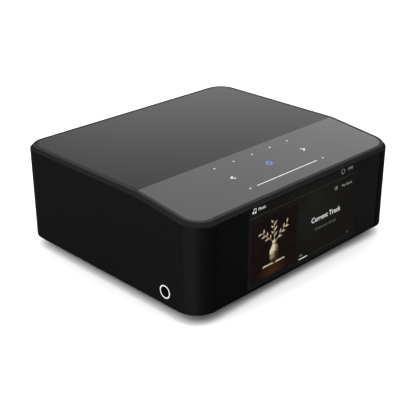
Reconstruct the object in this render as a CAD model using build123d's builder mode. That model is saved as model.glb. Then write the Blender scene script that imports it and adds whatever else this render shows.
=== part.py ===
"""Desktop network audio player: sloped touch panel, glass front with a colour display, side headphone sockets.

Millimetres. +X is to the right of someone facing the front, +Y points to the rear and +Z is up.
The origin lies on the floor under the middle of the body, and the front glass is the plane y = -DEPTH / 2.
"""

import math
import os

from build123d import *

# ------------------------------------------------------------------ body
WIDTH = 220.0
DEPTH = 192.0
TOP_Z = 84.0
FLOOR_GAP = 9.0  # height of the walls' lower edge above the floor
CORNER_R = 17.5
EDGE_CHAMFER = 2.45
RIM_WIDTH = 2.15
WALL = 2.5
SLOPE_RUN = 61.3  # from the front face back to the crease in the roof
SLOPE_DROP = 7.4  # how much lower the front edge is than the crease

FRONT_Y = -DEPTH / 2
REAR_Y = DEPTH / 2
CREASE_Y = FRONT_Y + SLOPE_RUN
SLOPE = SLOPE_DROP / SLOPE_RUN

# ------------------------------------------------------------------ roof panels and the ledge under them
PANEL_T = 1.6
PANEL_GAP = 0.3
PANEL_INSET = EDGE_CHAMFER + RIM_WIDTH + PANEL_GAP
CREASE_GAP = 0.12
LEDGE_INSET = 9.0
LEDGE_TOP = 1.8  # depths below the roof surface
LEDGE_BOTTOM = 3.0

# ------------------------------------------------------------------ front
SEAM_X = 90.5  # half width of the front opening in the chassis
SEAM_GAP = 0.15
FRAME_X = SEAM_X - SEAM_GAP
GLASS_T = 1.5
GLASS_TOP_Z = TOP_Z - SLOPE_DROP - EDGE_CHAMFER
POCKET_Y = FRONT_Y + GLASS_T + 0.2
FRAME_BACK_Y = FRONT_Y + 3.4
SCREEN_X = (-58.6, 61.9)  # lit area of the display
SCREEN_Z = (11.0, 73.0)
LCD_X = (SCREEN_X[0] - 2.0, SCREEN_X[1] + 4.4)
LCD_Z = (SCREEN_Z[0] - 0.5, SCREEN_Z[1] + 0.4)
LCD_Y = (FRONT_Y + 1.9, FRONT_Y + 3.1)
TRAY_Y = (LCD_Y[1] + 0.05, LCD_Y[1] + 4.55)
BRACKET_Y = (TRAY_Y[1] + 0.05, TRAY_Y[1] + 1.25)
BRACKET_X = 2.75
DISPLAY_SCREWS = [(BRACKET_X + x, z) for x in (-70.75, 70.75) for z in (18.0, 64.0)]
SENSOR_X, SENSOR_Z = 82.0, 40.0

# ------------------------------------------------------------------ base, feet and boards
BASE_Z = 9.8
BASE_TOP = BASE_Z + 1.5
BASE_FRONT_Y = FRONT_Y + 9.6
BASE_SCREWS = [(side * 103.2, y) for side in (-1, 1) for y in (-78, -44, 12, 72)]
BOSS_R = 4.5
BOSS_TOP = 24.0
FOOT_R = 15.0
PAD_T = 1.5
FEET = {
    "foot_front_left": (-74, -62),
    "foot_front_right": (74, -62),
    "foot_rear_left": (-74, 62),
    "foot_rear_right": (74, 62),
}
PCB_T = 1.6
BOARD_Z = 18.0
BOARD_TOP = BOARD_Z + PCB_T
BOARD_REAR_Y = 79.5
MAIN_BOARD = ((-96, 38), (-50, BOARD_REAR_Y))
SUPPLY_BOARD = ((44, 97), (-50, BOARD_REAR_Y))
OUTPUT_BOARD = ((-96, 14), (6, BOARD_REAR_Y))
OUTPUT_Z = 41.0
OUTPUT_TOP = OUTPUT_Z + PCB_T
MAIN_HOLES = [(x, y) for x in (-91, 33) for y in (-45, 15, 66)]
SUPPLY_HOLES = [(x, y) for x in (48, 93) for y in (-45, 52)]
OUTPUT_HOLES = [(x, y) for x in (-91, 9) for y in (24, 60)]

# ------------------------------------------------------------------ rear recess, rear panel and its sockets
PANEL_Y = REAR_Y - 11.0  # outside face of the rear panel
REAR_PANEL_T = 1.5
PANEL_BACK_Y = PANEL_Y - REAR_PANEL_T
RECESS_X, RECESS_Z = 92.0, (14.0, 76.0)
RECESS_WALL = 1.6
SEAT_T = 3.0
SEAT_X, SEAT_Z = 86.0, (19.0, 71.0)  # opening behind the rear panel
SPLIT_X = 93.8  # half width of the rear frame, between the two side pieces
SPLIT_GAP = 0.1
PANEL_SCREWS = [(x, z) for x in (-89, 0, 89) for z in (17, 73)]
FACE_Y = PANEL_Y + 0.6  # most sockets stand this proud of the panel
CUT_GAP = 0.3  # clearance round each socket in the panel

HEADPHONE_Y = FRONT_Y + 30.9
HEADPHONE_Z = FLOOR_GAP + 10.1
PLUG_R = 3.25
BEZEL_R = 5.3
ETHERNET_X, USB_X, HDMI_X, USB_C_X = 17.0, -1.0, -19.0, -33.5
OPTICAL_X = {"optical_in": -46.0, "optical_out": -59.0}
TRIGGER_X, TRIGGER_R = -73.0, 1.8
XLR_X = {"xlr_left": -72.0, "xlr_right": -44.0}
XLR_Z = OUTPUT_TOP + 12.6
XLR_CUP_R, XLR_DEPTH = 9.7, 14.0
XLR_PINS = [(-5.6, 1.2), (5.6, 1.2), (0.0, -5.8)]
PHONO = {
    "phono_left": (-22.0, 63.0),
    "phono_right": (-22.0, 48.5),
    "phono_subwoofer": (-4.0, 63.0),
    "phono_digital": (-4.0, 48.5),
}
PHONO_R, PHONO_L = 4.15, 9.2
PHONO_START = 1.4  # where the full barrel starts, just clear of its collar
INLET_X, INLET_Z = 70.0, 34.0
INLET_PITCH = 8.6
BUTTON_X, BUTTON_Z = 31.5, 26.0
BUTTON_R = 2.0
BUTTON_TRAVEL = 0.8

SCREW_R = 1.45
HOLE_R = 1.55


# ------------------------------------------------------------------ helpers that work in the open part
def block(x, y, z, mode=Mode.ADD):
    """Box between the two limits given for each axis."""
    with Locations(((x[0] + x[1]) / 2, (y[0] + y[1]) / 2, (z[0] + z[1]) / 2)):
        Box(x[1] - x[0], y[1] - y[0], z[1] - z[0], mode=mode)


def about(middle, half):
    """The two limits that lie half to either side of the middle."""
    return middle - half, middle + half


def rod_x(y, z, radius, start, end, mode=Mode.ADD):
    """Cylinder along X between two ends."""
    with Locations(Location(((start + end) / 2, y, z), (0, 90, 0))):
        Cylinder(radius, abs(end - start), mode=mode)


def rod_y(x, z, radius, start, end, mode=Mode.ADD):
    """Cylinder along Y between two ends."""
    with Locations(Location((x, (start + end) / 2, z), (90, 0, 0))):
        Cylinder(radius, abs(end - start), mode=mode)


def rod_z(x, y, radius, start, end, mode=Mode.ADD):
    """Cylinder along Z between two ends."""
    with Locations((x, y, (start + end) / 2)):
        Cylinder(radius, abs(end - start), mode=mode)


# ------------------------------------------------------------------ helpers that make a body of their own
def roof(y):
    """Height of the roof surface above the floor."""
    return TOP_Z if y >= CREASE_Y else TOP_Z - SLOPE * (CREASE_Y - y)


def roof_band(inset, upper, lower, y_min=FRONT_Y - 1, y_max=REAR_Y + 1, half_width=WIDTH):
    """Slab between two depths under the roof, inside the plan outline set in by inset."""
    bends = [y for y in (y_min, CREASE_Y, y_max) if y_min <= y <= y_max]
    outline = [(y, roof(y) - upper) for y in bends]
    outline += [(y, roof(y) - lower) for y in reversed(bends)]
    with BuildPart() as band:
        with BuildSketch(Plane.YZ):
            with BuildLine():
                Polyline(*outline, close=True)
            make_face()
        extrude(amount=half_width, both=True)
        with BuildSketch():
            RectangleRounded(WIDTH - 2 * inset, DEPTH - 2 * inset, CORNER_R - inset)
        extrude(amount=2 * TOP_Z, mode=Mode.INTERSECT)
    return band.part


def under_roof(inset, depth, z_bottom):
    """Solid from z_bottom up to the roof lowered by depth, inside the outline set in by inset."""
    with BuildPart() as filled:
        with BuildSketch(Plane.XY.offset(z_bottom)):
            RectangleRounded(WIDTH - 2 * inset, DEPTH - 2 * inset, CORNER_R - inset)
        extrude(amount=TOP_Z - z_bottom)
        with BuildSketch(Plane.YZ):
            with BuildLine():
                Polyline(
                    (FRONT_Y - 1, 0),
                    (FRONT_Y - 1, roof(FRONT_Y - 1) - depth),
                    (CREASE_Y, TOP_Z - depth),
                    (REAR_Y + 1, TOP_Z - depth),
                    (REAR_Y + 1, 0),
                    close=True,
                )
            make_face()
        extrude(amount=WIDTH, both=True, mode=Mode.INTERSECT)
    return filled.part


def screw(head_r, head_h, shank_l, shank_r=SCREW_R):
    """Pan-head screw with a cross recess: the head sits on z = 0 and the shank points down."""
    with BuildPart() as pan_screw:
        Cylinder(head_r, head_h, align=(Align.CENTER, Align.CENTER, Align.MIN))
        fillet(pan_screw.edges().group_by(Axis.Z)[-1], head_h * 0.45)
        Cylinder(shank_r, shank_l, align=(Align.CENTER, Align.CENTER, Align.MAX))
        with Locations((0, 0, head_h)):
            Box(head_r * 1.1, head_r * 0.28, head_h * 1.1, mode=Mode.SUBTRACT)
            Box(head_r * 0.28, head_r * 1.1, head_h * 1.1, mode=Mode.SUBTRACT)
    return pan_screw.part


def circuit_board(outline, z, holes):
    """Rectangular board with rounded corners and plain fixing holes."""
    (x_min, x_max), (y_min, y_max) = outline
    with BuildPart() as made:
        block((x_min, x_max), (y_min, y_max), (z, z + PCB_T))
        fillet(made.edges().filter_by(Axis.Z), 1.5)
        with BuildSketch(Plane.XY.offset(z)):
            with Locations(*holes):
                Circle(1.3)
        extrude(amount=PCB_T, mode=Mode.SUBTRACT)
    return made.part


os.makedirs("parts", exist_ok=True)

# ------------------------------------------------------------------ ring of walls, chamfer, rim and ledge
full_height = under_roof(0, 0, FLOOR_GAP)
hollow = under_roof(WALL, LEDGE_BOTTOM, FLOOR_GAP - 1)
panel_space = roof_band(EDGE_CHAMFER + RIM_WIDTH, -5, LEDGE_TOP)
ledge_opening = roof_band(LEDGE_INSET, -5, LEDGE_BOTTOM + 1)

with BuildPart() as ring:
    add(full_height)
    sloped_and_flat = ring.faces().filter_by(lambda face: face.normal_at().Z > 0.9)
    crease = Vector(0, CREASE_Y, TOP_Z)
    chamfer([e for e in sloped_and_flat.edges() if (e.center() - crease).length > 1], EDGE_CHAMFER)
    add(hollow, mode=Mode.SUBTRACT)
    add(panel_space, mode=Mode.SUBTRACT)
    add(ledge_opening, mode=Mode.SUBTRACT)

# ------------------------------------------------------------------ chassis: two side pieces and a rear frame
rear_zone = about(0, SPLIT_X - SPLIT_GAP / 2), (REAR_Y - 30, REAR_Y + 1), (0, 90)
seat_y = (PANEL_BACK_Y - SEAT_T, PANEL_BACK_Y)

for name, side in (("chassis_left", -1), ("chassis_right", 1)):
    outside = side * WIDTH / 2
    bosses = [(x, y) for x, y in BASE_SCREWS if x * side > 0]
    with BuildPart() as chassis_side:
        add(ring.part)
        block(sorted((0, -side * WIDTH)), about(0, DEPTH), (0, 90), mode=Mode.SUBTRACT)
        block(about(0, SEAM_X), (FRONT_Y - 1, FRONT_Y + 10), (0, 90), mode=Mode.SUBTRACT)
        block(about(0, SPLIT_X + SPLIT_GAP / 2), *rear_zone[1:], mode=Mode.SUBTRACT)
        for x, y in bosses:
            rod_z(x, y, BOSS_R, BASE_TOP, BOSS_TOP)
        add(full_height, mode=Mode.INTERSECT)
        for x, y in bosses:
            rod_z(x, y, HOLE_R, BASE_TOP - 1, BOSS_TOP - 2, mode=Mode.SUBTRACT)
        rod_x(HEADPHONE_Y, HEADPHONE_Z, 4.6, outside - side * 5, outside, mode=Mode.SUBTRACT)
        rod_x(
            HEADPHONE_Y, HEADPHONE_Z, BEZEL_R + 0.1, outside - side * 0.8, outside + side,
            mode=Mode.SUBTRACT,
        )
    chassis_side.part.label = name
    export_step(chassis_side.part, f"parts/{name}.step")

with BuildPart() as chassis_rear:
    add(ring.part)
    block(*rear_zone, mode=Mode.INTERSECT)
    outer_z = (RECESS_Z[0] - RECESS_WALL, RECESS_Z[1] + RECESS_WALL)
    block(about(0, RECESS_X + RECESS_WALL), (seat_y[0], REAR_Y - WALL), outer_z)
    block(about(0, RECESS_X), (PANEL_BACK_Y, REAR_Y + 1), RECESS_Z, mode=Mode.SUBTRACT)
    block(about(0, SEAT_X), (seat_y[0] - 1, REAR_Y), SEAT_Z, mode=Mode.SUBTRACT)
    with BuildSketch(Plane.XZ.offset(-REAR_Y)):
        with Locations((0, sum(RECESS_Z) / 2)):
            Rectangle(2 * RECESS_X + 1.6, RECESS_Z[1] - RECESS_Z[0] + 1.6)
    extrude(amount=0.8, taper=45, mode=Mode.SUBTRACT)
    for x, z in PANEL_SCREWS:
        rod_y(x, z, HOLE_R, seat_y[0] - 1, PANEL_Y, mode=Mode.SUBTRACT)
chassis_rear.part.label = "chassis_rear"
export_step(chassis_rear.part, "parts/chassis_rear.step")

# ------------------------------------------------------------------ roof panels
for name, span in (
    ("touch_panel", (FRONT_Y - 1, CREASE_Y - CREASE_GAP / 2)),
    ("top_cover", (CREASE_Y + CREASE_GAP / 2, REAR_Y + 1)),
):
    blank = roof_band(PANEL_INSET, 0, PANEL_T, *span)
    with BuildPart() as roof_panel:
        add(blank)
        upper_face = roof_panel.faces().filter_by(lambda face: face.normal_at().Z > 0.9)
        fillet([e for e in upper_face.edges() if abs(e.center().Y - CREASE_Y) > 1], 0.35)
    roof_panel.part.label = name
    export_step(roof_panel.part, f"parts/{name}.step")

# ------------------------------------------------------------------ front frame
with BuildPart() as front_frame:
    add(ring.part)
    block((-FRAME_X, FRAME_X), (FRONT_Y - 1, FRONT_Y + 10), (0, 90), mode=Mode.INTERSECT)
    block(about(0, FRAME_X), (FRONT_Y, BASE_FRONT_Y - 0.3), (FLOOR_GAP, FLOOR_GAP + 1.2))
    block(about(0, FRAME_X), (POCKET_Y, FRAME_BACK_Y), (FLOOR_GAP, GLASS_TOP_Z + 0.1))
    block(
        about(0, FRAME_X + 1), (FRONT_Y - 1, POCKET_Y), (0, GLASS_TOP_Z + 0.1), mode=Mode.SUBTRACT
    )
    block(
        (LCD_X[0] - 0.6, LCD_X[1] + 0.6), (FRONT_Y, FRONT_Y + 4), (LCD_Z[0] - 0.3, LCD_Z[1] + 0.2),
        mode=Mode.SUBTRACT,
    )
    for x, z in DISPLAY_SCREWS:
        rod_y(x, z, 2.6, FRAME_BACK_Y - 0.5, BRACKET_Y[0] - 0.05)
        rod_y(x, z, 1.05, FRAME_BACK_Y, FRONT_Y + 9, mode=Mode.SUBTRACT)
    rod_y(SENSOR_X, SENSOR_Z, 2.4, FRONT_Y, FRONT_Y + 5, mode=Mode.SUBTRACT)
front_frame.part.label = "front_frame"
export_step(front_frame.part, "parts/front_frame.step")

# ------------------------------------------------------------------ front glass
with BuildPart() as front_glass:
    block(about(0, FRAME_X), (FRONT_Y, FRONT_Y + GLASS_T), (FLOOR_GAP, GLASS_TOP_Z))
    chamfer(front_glass.faces().sort_by(Axis.Y)[0].edges(), 0.15)
front_glass.part.label = "front_glass"
export_step(front_glass.part, "parts/front_glass.step")

# ------------------------------------------------------------------ display module
with BuildPart() as lcd_panel:
    block(LCD_X, LCD_Y, LCD_Z)
    fillet(lcd_panel.edges().filter_by(Axis.Y), 0.4)
lcd_panel.part.label = "lcd_panel"
export_step(lcd_panel.part, "parts/lcd_panel.step")

with BuildPart() as backlight_tray:
    block(LCD_X, TRAY_Y, LCD_Z)
    relief_x, relief_z = (LCD_X[0] + 4, LCD_X[1] - 4), (LCD_Z[0] + 4, LCD_Z[1] - 4)
    block(relief_x, (TRAY_Y[1] - 0.6, TRAY_Y[1] + 1), relief_z, mode=Mode.SUBTRACT)
backlight_tray.part.label = "backlight_tray"
export_step(backlight_tray.part, "parts/backlight_tray.step")

with BuildPart() as display_bracket:
    block(about(BRACKET_X, 74.75), BRACKET_Y, (13, 69))
    fillet(display_bracket.edges().filter_by(Axis.Y), 2.0)
    with BuildSketch(Plane.XZ.offset(-BRACKET_Y[1])):
        with Locations((BRACKET_X, 41)):
            with GridLocations(26, 0, 5, 1):
                RectangleRounded(20, 34, 2)
        with Locations(*DISPLAY_SCREWS):
            Circle(1.3)
    extrude(amount=BRACKET_Y[1] - BRACKET_Y[0], mode=Mode.SUBTRACT)
display_bracket.part.label = "display_bracket"
export_step(display_bracket.part, "parts/display_bracket.step")

small_screw = screw(2.0, 1.1, 4.6, shank_r=0.95)
with BuildPart() as display_screws:
    with Locations(*[Location((x, BRACKET_Y[1], z), (-90, 0, 0)) for x, z in DISPLAY_SCREWS]):
        add(small_screw)
display_screws.part.label = "display_screws"
export_step(display_screws.part, "parts/display_screws.step")

with BuildPart() as proximity_sensor:
    block(about(SENSOR_X, 3.2), (FRAME_BACK_Y + 0.1, FRAME_BACK_Y + 4), about(SENSOR_Z, 4))
    rod_y(SENSOR_X, SENSOR_Z, 2.1, FRONT_Y + GLASS_T + 0.5, FRAME_BACK_Y + 1)
    fillet(proximity_sensor.faces().sort_by(Axis.Y)[0].edges(), 0.4)
proximity_sensor.part.label = "proximity_sensor"
export_step(proximity_sensor.part, "parts/proximity_sensor.step")

touch_slab = roof_band(0, PANEL_T + 0.1, PANEL_T + 1.7, FRONT_Y + 12, FRONT_Y + 57, half_width=56)
touch_chip = roof_band(0, PANEL_T + 1.5, PANEL_T + 2.9, FRONT_Y + 30, FRONT_Y + 38, half_width=4)
with BuildPart() as touch_board:
    add(touch_slab)
    add(touch_chip)
touch_board.part.label = "touch_board"
export_step(touch_board.part, "parts/touch_board.step")

# ------------------------------------------------------------------ base plate
with BuildPart() as base_plate:
    inset = WALL + 0.3
    with BuildSketch(Plane.XY.offset(BASE_Z)):
        RectangleRounded(WIDTH - 2 * inset, DEPTH - 2 * inset, CORNER_R - inset)
        with Locations(*BASE_SCREWS, *FEET.values()):
            Circle(HOLE_R + 0.2, mode=Mode.SUBTRACT)
        with Locations(*MAIN_HOLES, *SUPPLY_HOLES):
            Circle(1.3, mode=Mode.SUBTRACT)
        with Locations((-32, 15), (12, 15)):
            with GridLocations(0, 6, 1, 9):
                SlotOverall(34, 2.4, mode=Mode.SUBTRACT)
    extrude(amount=BASE_TOP - BASE_Z)
    block(about(0, FRAME_X + 0.3), (-DEPTH, BASE_FRONT_Y), (0, 20), mode=Mode.SUBTRACT)
base_plate.part.label = "base_plate"
export_step(base_plate.part, "parts/base_plate.step")

# ------------------------------------------------------------------ feet, their pads and the screws below
for name, (foot_x, foot_y) in FEET.items():
    with BuildPart() as foot:
        with BuildSketch(Plane(origin=(foot_x, foot_y, 0), x_dir=(1, 0, 0), z_dir=(0, -1, 0))):
            with BuildLine():
                Polyline(
                    (4.0, PAD_T),
                    (FOOT_R - 0.7, PAD_T),
                    (FOOT_R, BASE_Z - 1.2),
                    (FOOT_R, BASE_Z),
                    (HOLE_R + 0.2, BASE_Z),
                    (HOLE_R + 0.2, BASE_Z - 3),
                    (4.0, BASE_Z - 3),
                    close=True,
                )
            make_face()
        revolve(axis=Axis((foot_x, foot_y, 0), (0, 0, 1)))
    foot.part.label = name
    export_step(foot.part, f"parts/{name}.step")

with BuildPart() as foot_pads:
    with BuildSketch():
        with Locations(*FEET.values()):
            Circle(FOOT_R - 1.9)
            Circle(4.2, mode=Mode.SUBTRACT)
    extrude(amount=PAD_T)
    fillet(foot_pads.edges().group_by(Axis.Z)[0], 0.3)
foot_pads.part.label = "foot_pads"
export_step(foot_pads.part, "parts/foot_pads.step")

foot_screw = screw(2.8, 2.0, 7.0)
with BuildPart() as foot_screws:
    with Locations(*[Location((x, y, BASE_Z - 3), (180, 0, 0)) for x, y in FEET.values()]):
        add(foot_screw)
foot_screws.part.label = "foot_screws"
export_step(foot_screws.part, "parts/foot_screws.step")

base_screw = screw(2.7, 1.6, 9.0)
with BuildPart() as base_screws:
    with Locations(*[Location((x, y, BASE_Z), (180, 0, 0)) for x, y in BASE_SCREWS]):
        add(base_screw)
base_screws.part.label = "base_screws"
export_step(base_screws.part, "parts/base_screws.step")

# ------------------------------------------------------------------ circuit boards and their posts
with BuildPart() as board_posts:
    with BuildSketch(Plane.XY.offset(BASE_TOP)):
        with Locations(*MAIN_HOLES, *SUPPLY_HOLES):
            RegularPolygon(3.0, 6)
            Circle(1.25, mode=Mode.SUBTRACT)
    extrude(amount=BOARD_Z - BASE_TOP)
    with BuildSketch(Plane.XY.offset(BOARD_TOP)):
        with Locations(*OUTPUT_HOLES):
            RegularPolygon(3.0, 6)
    extrude(amount=OUTPUT_Z - BOARD_TOP)
board_posts.part.label = "board_posts"
export_step(board_posts.part, "parts/board_posts.step")

board_screw = screw(2.4, 1.4, 6.0, shank_r=1.15)
with BuildPart() as board_screws:
    with Locations(*[(x, y, BOARD_TOP) for x, y in MAIN_HOLES + SUPPLY_HOLES]):
        add(board_screw)
board_screws.part.label = "board_screws"
export_step(board_screws.part, "parts/board_screws.step")

for name, outline, z, holes in (
    ("main_board", MAIN_BOARD, BOARD_Z, MAIN_HOLES),
    ("power_supply_board", SUPPLY_BOARD, BOARD_Z, SUPPLY_HOLES),
    ("output_board", OUTPUT_BOARD, OUTPUT_Z, OUTPUT_HOLES),
):
    finished_board = circuit_board(outline, z, holes)
    finished_board.label = name
    export_step(finished_board, f"parts/{name}.step")

# ------------------------------------------------------------------ what stands on the boards
PROCESSOR_H = 2.6
sink_z = BOARD_TOP + PROCESSOR_H + 0.1
with BuildPart() as heat_sink:
    block((-50, -18), (-32, -6), (sink_z, sink_z + 2))
    with BuildSketch(Plane.XY.offset(sink_z + 2)):
        with Locations((-34, -19)):
            with GridLocations(3.4, 0, 9, 1):
                Rectangle(1.2, 26)
    extrude(amount=9)
heat_sink.part.label = "heat_sink"
export_step(heat_sink.part, "parts/heat_sink.step")

with BuildPart() as main_board_chips:
    with Locations(*[(x, y, BOARD_TOP + 0.7) for x, y in ((-70, -20), (-2, -22), (-75, 8), (-5, 10))]):
        Box(12, 12, 1.4)
    block((-50, -18), (-32, -6), (BOARD_TOP, BOARD_TOP + PROCESSOR_H))
    chamfer([face.edges() for face in main_board_chips.faces() if face.normal_at().Z > 0.9], 0.2)
main_board_chips.part.label = "main_board_chips"
export_step(main_board_chips.part, "parts/main_board_chips.step")

with BuildPart() as transformer:
    block((54, 88), (-18, 14), (BOARD_TOP, BOARD_TOP + 6))
    block((60, 82), (-18, 14), (BOARD_TOP + 6, BOARD_TOP + 26))
    block((54, 88), (-12, 8), (BOARD_TOP + 6, BOARD_TOP + 24))
transformer.part.label = "transformer"
export_step(transformer.part, "parts/transformer.step")

with BuildPart() as smoothing_capacitors:
    with Locations(*[(x, 34, BOARD_TOP + 13) for x in (55, 71.5, 88)]):
        Cylinder(7.8, 26)
    fillet(smoothing_capacitors.edges().group_by(Axis.Z)[-1], 1.2)
smoothing_capacitors.part.label = "smoothing_capacitors"
export_step(smoothing_capacitors.part, "parts/smoothing_capacitors.step")

with BuildPart() as supply_heat_sink:
    block((50, 90), (-36, -32), (BOARD_TOP, BOARD_TOP + 26))
    with BuildSketch(Plane.XY.offset(BOARD_TOP + 4)):
        with Locations((70, -29)):
            with GridLocations(5.4, 0, 7, 1):
                Rectangle(1.2, 7)
    extrude(amount=22)
supply_heat_sink.part.label = "supply_heat_sink"
export_step(supply_heat_sink.part, "parts/supply_heat_sink.step")

# ------------------------------------------------------------------ headphone sockets, one in each side wall
for name, side in (("left", -1), ("right", 1)):
    outside = side * WIDTH / 2
    wall_face = side * (WIDTH / 2 - WALL - 0.1)
    deep_end = side * (WIDTH / 2 - 30)
    with BuildPart() as bezel:
        rod_x(HEADPHONE_Y, HEADPHONE_Z, BEZEL_R, outside, outside - side * 0.75)
        outer_face = bezel.faces().sort_by(lambda face: side * face.center().X)[-1]
        fillet(outer_face.edges(), 0.3)
        rod_x(HEADPHONE_Y, HEADPHONE_Z, 4.5, outside - side * 0.7, wall_face)
        rod_x(HEADPHONE_Y, HEADPHONE_Z, 3.9, outside + side, deep_end, mode=Mode.SUBTRACT)
    bezel.part.label = f"headphone_bezel_{name}"
    export_step(bezel.part, f"parts/headphone_bezel_{name}.step")
    with BuildPart() as jack:
        block(
            sorted((wall_face - side * 0.1, deep_end)),
            about(HEADPHONE_Y, 8),
            about(HEADPHONE_Z, 7.4),
        )
        rod_x(HEADPHONE_Y, HEADPHONE_Z, PLUG_R, outside, deep_end + side * 2, mode=Mode.SUBTRACT)
    jack.part.label = f"headphone_jack_{name}"
    export_step(jack.part, f"parts/headphone_jack_{name}.step")

# ------------------------------------------------------------------ data sockets on the main board
ethernet_z = (BOARD_TOP, BOARD_TOP + 13.4)
with BuildPart() as ethernet_jack:
    block(about(ETHERNET_X, 8), (FACE_Y - 21, FACE_Y), ethernet_z)
    plug_z = (BOARD_TOP + 2.2, BOARD_TOP + 9.2)
    block(about(ETHERNET_X, 5.9), (FACE_Y - 13, FACE_Y + 1), plug_z, mode=Mode.SUBTRACT)
    latch_z = (BOARD_TOP + 9, BOARD_TOP + 11.6)
    block(about(ETHERNET_X, 2), (FACE_Y - 9, FACE_Y + 1), latch_z, mode=Mode.SUBTRACT)
ethernet_jack.part.label = "ethernet_jack"
export_step(ethernet_jack.part, "parts/ethernet_jack.step")

usb_z = (BOARD_TOP, BOARD_TOP + 7.0)
with BuildPart() as usb_port:
    block(about(USB_X, 7.2), (FACE_Y - 14, FACE_Y), usb_z)
    shell_z = (usb_z[0] + 0.8, usb_z[1] - 0.8)
    block(about(USB_X, 6.2), (FACE_Y - 10, FACE_Y + 1), shell_z, mode=Mode.SUBTRACT)
    block(about(USB_X, 5.5), (FACE_Y - 11, FACE_Y - 1), (usb_z[0] + 3.6, usb_z[0] + 5.4))
usb_port.part.label = "usb_port"
export_step(usb_port.part, "parts/usb_port.step")

hdmi_z = (BOARD_TOP, BOARD_TOP + 6.0)
with BuildPart() as hdmi_port:
    block(about(HDMI_X, 7.6), (FACE_Y - 12, FACE_Y), hdmi_z)
    low, high = BOARD_TOP + 0.7, BOARD_TOP + 5.3
    with BuildSketch(Plane.XZ.offset(-FACE_Y)):
        with BuildLine():
            Polyline(
                (HDMI_X - 7, high),
                (HDMI_X + 7, high),
                (HDMI_X + 7, low + 1.6),
                (HDMI_X + 5.4, low),
                (HDMI_X - 5.4, low),
                (HDMI_X - 7, low + 1.6),
                close=True,
            )
        make_face()
    extrude(amount=9, mode=Mode.SUBTRACT)
    block(about(HDMI_X, 6.2), (FACE_Y - 10, FACE_Y - 1), (low + 2.3, low + 3.2))
hdmi_port.part.label = "hdmi_port"
export_step(hdmi_port.part, "parts/hdmi_port.step")

usb_c_middle = BOARD_TOP + 1.8
with BuildPart() as usb_c_port:
    with BuildSketch(Plane.XZ.offset(-FACE_Y)):
        with Locations((USB_C_X, usb_c_middle)):
            SlotOverall(9.2, 3.5)
    extrude(amount=8)
    with BuildSketch(Plane.XZ.offset(-FACE_Y)):
        with Locations((USB_C_X, usb_c_middle)):
            SlotOverall(8.5, 2.8)
    extrude(amount=6.5, mode=Mode.SUBTRACT)
    block(about(USB_C_X, 3.3), (FACE_Y - 7, FACE_Y - 0.8), about(usb_c_middle, 0.35))
usb_c_port.part.label = "usb_c_port"
export_step(usb_c_port.part, "parts/usb_c_port.step")

# ------------------------------------------------------------------ optical sockets and their sprung shutters
OPTICAL_HALF = 5.3
OPTICAL_H = 11.6
THROAT_HALF = 4.2
throat_z = (BOARD_TOP + 1.2, BOARD_TOP + 9.8)
SHUTTER_T = 0.9
HINGE_Y = FACE_Y - 3.1
HINGE_Z = throat_z[1] - 0.75
PIN_R = 0.5
for name, x in OPTICAL_X.items():
    with BuildPart() as housing:
        block(about(x, OPTICAL_HALF), (FACE_Y - 14, FACE_Y), (BOARD_TOP, BOARD_TOP + OPTICAL_H))
        block(about(x, THROAT_HALF), (FACE_Y - 11, FACE_Y + 1), throat_z, mode=Mode.SUBTRACT)
        reach = THROAT_HALF + 0.6
        rod_x(HINGE_Y, HINGE_Z, PIN_R + 0.08, x - reach, x + reach, mode=Mode.SUBTRACT)
    housing.part.label = f"{name}_socket"
    export_step(housing.part, f"parts/{name}_socket.step")
    with BuildPart() as shutter:
        flap = about(x, THROAT_HALF - 0.2)
        block(flap, about(HINGE_Y, SHUTTER_T / 2), (throat_z[0] + 0.3, HINGE_Z))
        rod_x(HINGE_Y, HINGE_Z, SHUTTER_T / 2, *flap)
        rod_x(HINGE_Y, HINGE_Z, PIN_R, x - THROAT_HALF - 0.45, x + THROAT_HALF + 0.45)
    shutter.part.label = f"{name}_shutter"
    export_step(shutter.part, f"parts/{name}_shutter.step")

# ------------------------------------------------------------------ trigger socket, 3.5 mm
trigger_z = BOARD_TOP + 4.4
with BuildPart() as trigger_jack:
    block(about(TRIGGER_X, 4), (PANEL_Y - 15, PANEL_BACK_Y - 0.2), (BOARD_TOP, BOARD_TOP + 8.6))
    rod_y(TRIGGER_X, trigger_z, 3.0, PANEL_Y - 3, FACE_Y)
    rod_y(TRIGGER_X, trigger_z, TRIGGER_R, PANEL_Y - 13, FACE_Y + 1, mode=Mode.SUBTRACT)
trigger_jack.part.label = "trigger_jack"
export_step(trigger_jack.part, "parts/trigger_jack.step")

# ------------------------------------------------------------------ balanced outputs: a cup with three pins
for name, x in XLR_X.items():
    with BuildPart() as xlr:
        block(about(x, 12), (PANEL_Y - 26, PANEL_BACK_Y - 0.2), (OUTPUT_TOP, OUTPUT_TOP + 24.4))
        rod_y(x, XLR_Z, 11.2, PANEL_Y - 6, PANEL_Y + 0.2)
        with BuildSketch(Plane.XZ.offset(-PANEL_Y)):
            with Locations((x, XLR_Z)):
                RectangleRounded(25, 25, 3)
        extrude(amount=-1.2)
        rod_y(x, XLR_Z, XLR_CUP_R, PANEL_Y - XLR_DEPTH, PANEL_Y + 3, mode=Mode.SUBTRACT)
        block(about(x, 1.4), (PANEL_Y - XLR_DEPTH, PANEL_Y - 1), (XLR_Z + 8.4, XLR_Z + 10.2))
        for pin_x, pin_z in XLR_PINS:
            rod_y(
                x + pin_x, XLR_Z + pin_z, 1.2, PANEL_Y - 22, PANEL_Y - 12, mode=Mode.SUBTRACT
            )
    xlr.part.label = name
    export_step(xlr.part, f"parts/{name}.step")

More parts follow.
